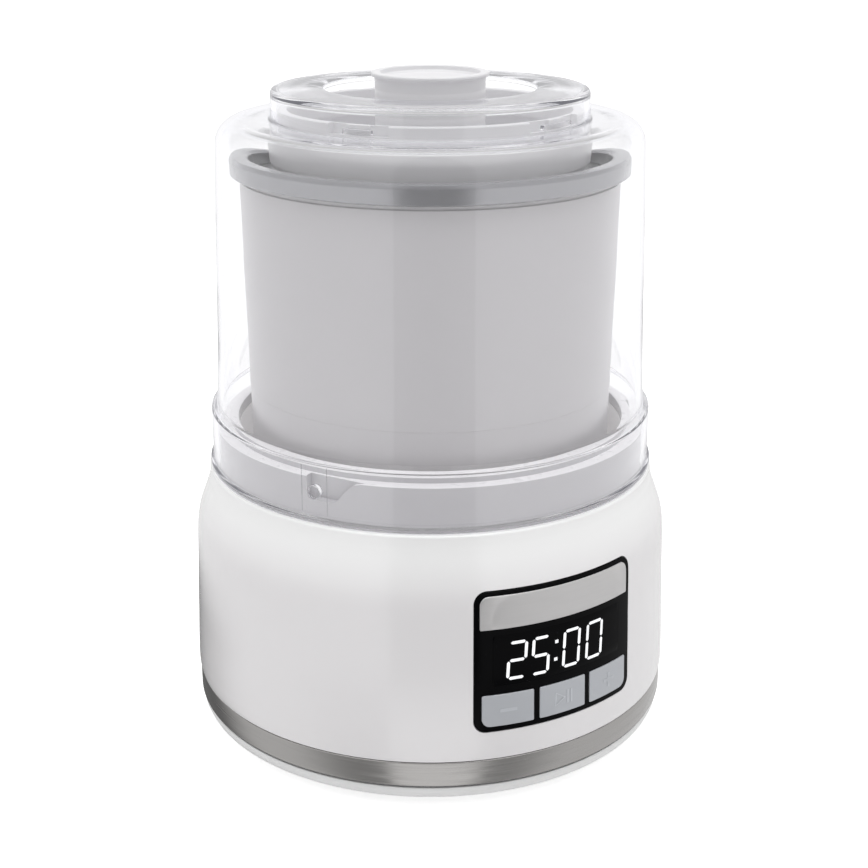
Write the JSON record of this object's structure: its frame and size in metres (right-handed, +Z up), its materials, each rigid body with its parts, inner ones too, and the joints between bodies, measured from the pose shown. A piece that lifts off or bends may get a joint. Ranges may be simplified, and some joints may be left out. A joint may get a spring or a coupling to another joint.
{
  "type": "ice cream and frozen yogurt maker",
  "caption": "Countertop frozen-yogurt and ice-cream maker: motor base with timer panel turns a cooling bowl under a clear cover, while a still paddle churns the mix.",
  "frame": {"origin": "centre of the flat pad on the base's underside, on the bowl's turning axis; the feet stand 3.5 mm below it", "axes": "+Z up along the turning axis, -Y towards the control panel, +X to the right of someone facing the panel"},
  "size_m": [0.2104, 0.3431, 0.2829],
  "materials": {
    "housing_white": "satin white moulded plastic",
    "well_white": "fine-textured warm white plastic",
    "trim_steel": "brushed round the band",
    "plate_grey": "fine-textured",
    "foot_rubber": "soft matt",
    "screw_steel": "zinc plated",
    "panel_black": "high gloss",
    "strip_silver": "brushed along its length",
    "key_silver": "satin silver paint",
    "electronics_black": "matt",
    "board_green": "solder resist",
    "gearbox_grey": "moulded",
    "gear_plastic": "acetal",
    "shaft_steel": "ground",
    "motor_steel": "rolled can",
    "bush_bronze": "sintered bronze",
    "seal_rubber": "soft matt",
    "bowl_grey": "satin",
    "rim_grey": "soft matt",
    "pot_metal": "spun, anodised",
    "coolant_gel": "frozen gel",
    "cover_clear": "clear, polished",
    "lid_white": "satin white",
    "cord_grey": "soft vinyl"
  },
  "bodies": {
    "base": {"base_housing": "housing_white", "well_liner": "well_white", "trim_ring": "trim_steel", "bottom_plate": "plate_grey", "foot_1": "foot_rubber", "foot_2": "foot_rubber", "foot_3": "foot_rubber", "foot_4": "foot_rubber", "bottom_screw_1": "screw_steel", "bottom_screw_2": "screw_steel", "bottom_screw_3": "screw_steel", "bottom_screw_4": "screw_steel", "gearbox_screw_1": "screw_steel", "gearbox_screw_2": "screw_steel", "gearbox_screw_3": "screw_steel", "gearbox_screw_4": "screw_steel", "panel_bezel": "panel_black", "display_lens": "panel_black", "nameplate_strip": "strip_silver", "display_module": "electronics_black", "tact_switch_1": "electronics_black", "tact_switch_2": "electronics_black", "tact_switch_3": "electronics_black", "board_transformer": "electronics_black", "control_board": "board_green", "power_board": "board_green", "gearbox_housing": "gearbox_grey", "gearbox_cover": "gearbox_grey", "idler_axle": "shaft_steel", "motor_body": "motor_steel", "output_bush": "bush_bronze", "shaft_seal": "seal_rubber", "cord_grommet": "seal_rubber", "power_cord": "cord_grey", "mains_plug": "cord_grey"},
    "bowl": {"bowl_outer_shell": "bowl_grey", "bowl_inner_pot": "pot_metal", "bowl_rim_ring": "rim_grey", "coolant_fill": "coolant_gel", "bowl_drive_socket": "gear_plastic"},
    "drive": {"output_gear": "gear_plastic", "output_shaft": "shaft_steel", "drive_coupling": "gear_plastic"},
    "idler": {"idler_gear": "gear_plastic"},
    "rotor": {"motor_pinion": "shaft_steel"},
    "lid": {"inner_lid": "lid_white", "paddle": "lid_white"},
    "cover": {"clear_cover": "cover_clear"},
    "plug": {"filler_plug": "lid_white"},
    "key_minus": {"button_minus": "key_silver"},
    "key_start": {"button_start": "key_silver"},
    "key_plus": {"button_plus": "key_silver"}
  },
  "joints": [
    {"name": "bowl_spin", "type": "hinge", "parent": "base", "child": "bowl", "pos_m": [0, 0, 0.09], "axis": [0, 0, 1], "continuous": true},
    {"name": "drive_spin", "type": "hinge", "parent": "base", "child": "drive", "pos_m": [0, 0, 0.07], "axis": [0, 0, 1], "continuous": true},
    {"name": "idler_spin", "type": "hinge", "parent": "base", "child": "idler", "pos_m": [0, 0.03562, 0.066], "axis": [0, 0, 1], "continuous": true},
    {"name": "rotor_spin", "type": "hinge", "parent": "base", "child": "rotor", "pos_m": [0, 0.06162, 0.06], "axis": [0, 0, 1], "continuous": true},
    {"name": "cover_lift", "type": "slide", "parent": "base", "child": "lid", "axis": [0, 0, 1], "range_m": [0, 0.135]},
    {"name": "cover_turn", "type": "hinge", "parent": "lid", "child": "cover", "pos_m": [0, 0, 0.13], "axis": [0, 0, 1], "range_deg": [0, 5]},
    {"name": "plug_lift", "type": "slide", "parent": "lid", "child": "plug", "axis": [0, 0, 1], "range_m": [0, 0.045]},
    {"name": "press_minus", "type": "slide", "parent": "base", "child": "key_minus", "axis": [0.2329, 0.9725, 0], "range_m": [0, 0.0008], "stiffness_N_per_m": 300},
    {"name": "press_start", "type": "slide", "parent": "base", "child": "key_start", "axis": [0, 1, 0], "range_m": [0, 0.0008], "stiffness_N_per_m": 300},
    {"name": "press_plus", "type": "slide", "parent": "base", "child": "key_plus", "axis": [-0.2329, 0.9725, 0], "range_m": [0, 0.0008], "stiffness_N_per_m": 300}
  ],
  "couplings": [
    {"joint": "drive_spin", "follows": "bowl_spin", "ratio": 1},
    {"joint": "idler_spin", "follows": "bowl_spin", "ratio": -3.75},
    {"joint": "rotor_spin", "follows": "bowl_spin", "ratio": 12.5}
  ]
}
